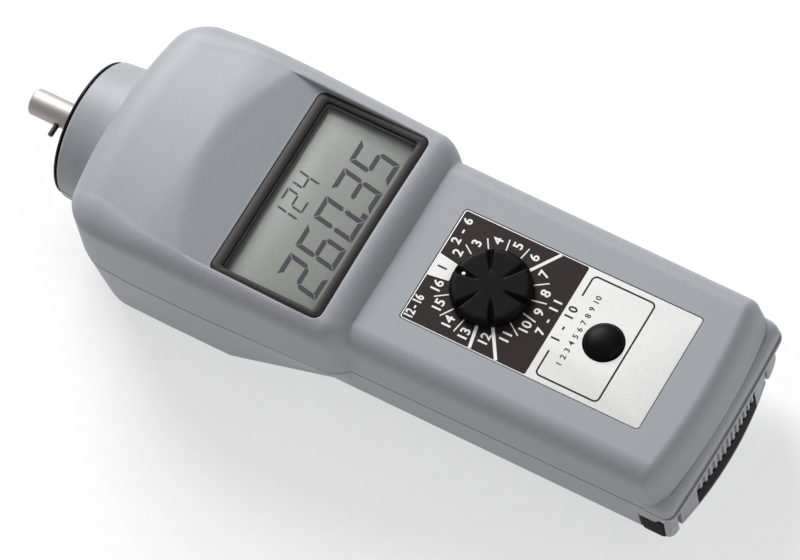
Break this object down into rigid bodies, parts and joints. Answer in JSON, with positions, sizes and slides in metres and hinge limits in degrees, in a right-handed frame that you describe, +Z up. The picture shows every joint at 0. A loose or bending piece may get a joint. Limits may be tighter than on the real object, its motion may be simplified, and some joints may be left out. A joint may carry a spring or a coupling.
{
  "type": "handheld tachometer",
  "caption": "Handheld contact tachometer with a stub measuring shaft, hooded display, dial selector knob, memory button, side measuring key and sliding battery cover.",
  "frame": {"origin": "middle of the tool's outline on the plane of the flat under its head", "axes": "+X from the measuring shaft to the tail, +Z up out of the display side"},
  "size_m": [0.1834, 0.0602, 0.0454],
  "materials": {
    "case_grey": "fine textured moulding",
    "bezel_black": "satin",
    "knob_black": "semi gloss",
    "rubber": "matt",
    "steel": "ground",
    "aluminium": "turned",
    "brass": "turned",
    "board_green": "solder resist",
    "part_black": "satin",
    "lcd_glass": "reflective display",
    "clear": "clear",
    "label": "printed",
    "cell_jacket": "printed jacket",
    "tray_white": "moulded"
  },
  "bodies": {
    "casing": {"top_shell": "case_grey", "back_shell": "case_grey", "nose_ring": "bezel_black", "bearing_sleeve": "aluminium", "front_bearing_ring": "steel", "rear_bearing_ring": "steel", "display_bezel": "bezel_black", "display_window": "clear", "lcd_panel": "lcd_glass", "front_contact_strip": "rubber", "rear_contact_strip": "rubber", "main_board": "board_green", "processor": "part_black", "sensor_board": "board_green", "slot_sensor": "part_black", "board_link": "tray_white", "label_panel": "label", "rotary_switch": "part_black", "memory_switch": "part_black", "measure_switch": "part_black", "battery_tray": "tray_white", "contact_bridge": "steel", "left_contact_plate": "steel", "right_contact_plate": "steel", "left_cell": "cell_jacket", "right_cell": "cell_jacket", "left_spring": "steel", "right_spring": "steel", "left_rear_foot": "rubber", "right_rear_foot": "rubber", "case_screw_1": "steel", "case_screw_2": "steel", "case_screw_3": "steel", "case_screw_4": "steel"},
    "spindle": {"measuring_shaft": "steel", "drive_pin": "part_black", "front_bearing_hub": "steel", "rear_bearing_hub": "steel", "disc_hub": "brass", "encoder_disc": "part_black", "retaining_ring": "steel"},
    "selector": {"selector_knob": "knob_black", "knob_mark": "label", "switch_spindle": "aluminium"},
    "memory_key": {"memory_button": "knob_black"},
    "measure_key": {"measure_button": "knob_black"},
    "battery_door": {"battery_cover": "case_grey", "cover_grip": "rubber"}
  },
  "joints": [
    {"name": "shaft_spin", "type": "hinge", "parent": "casing", "child": "spindle", "pos_m": [0, 0, 0.0235], "axis": [1, 0, 0], "continuous": true},
    {"name": "selector_turn", "type": "hinge", "parent": "casing", "child": "selector", "pos_m": [0.0312, 0, 0.03795], "axis": [0, 0, 1], "continuous": true},
    {"name": "memory_press", "type": "slide", "parent": "casing", "child": "memory_key", "axis": [0, 0, -1], "range_m": [0, 0.0008], "stiffness_N_per_m": 600},
    {"name": "measure_press", "type": "slide", "parent": "casing", "child": "measure_key", "axis": [0, -1, 0], "range_m": [0, 0.001], "stiffness_N_per_m": 600},
    {"name": "cover_slide", "type": "slide", "parent": "casing", "child": "battery_door", "axis": [1, 0, 0], "range_m": [0, 0.062]}
  ]
}
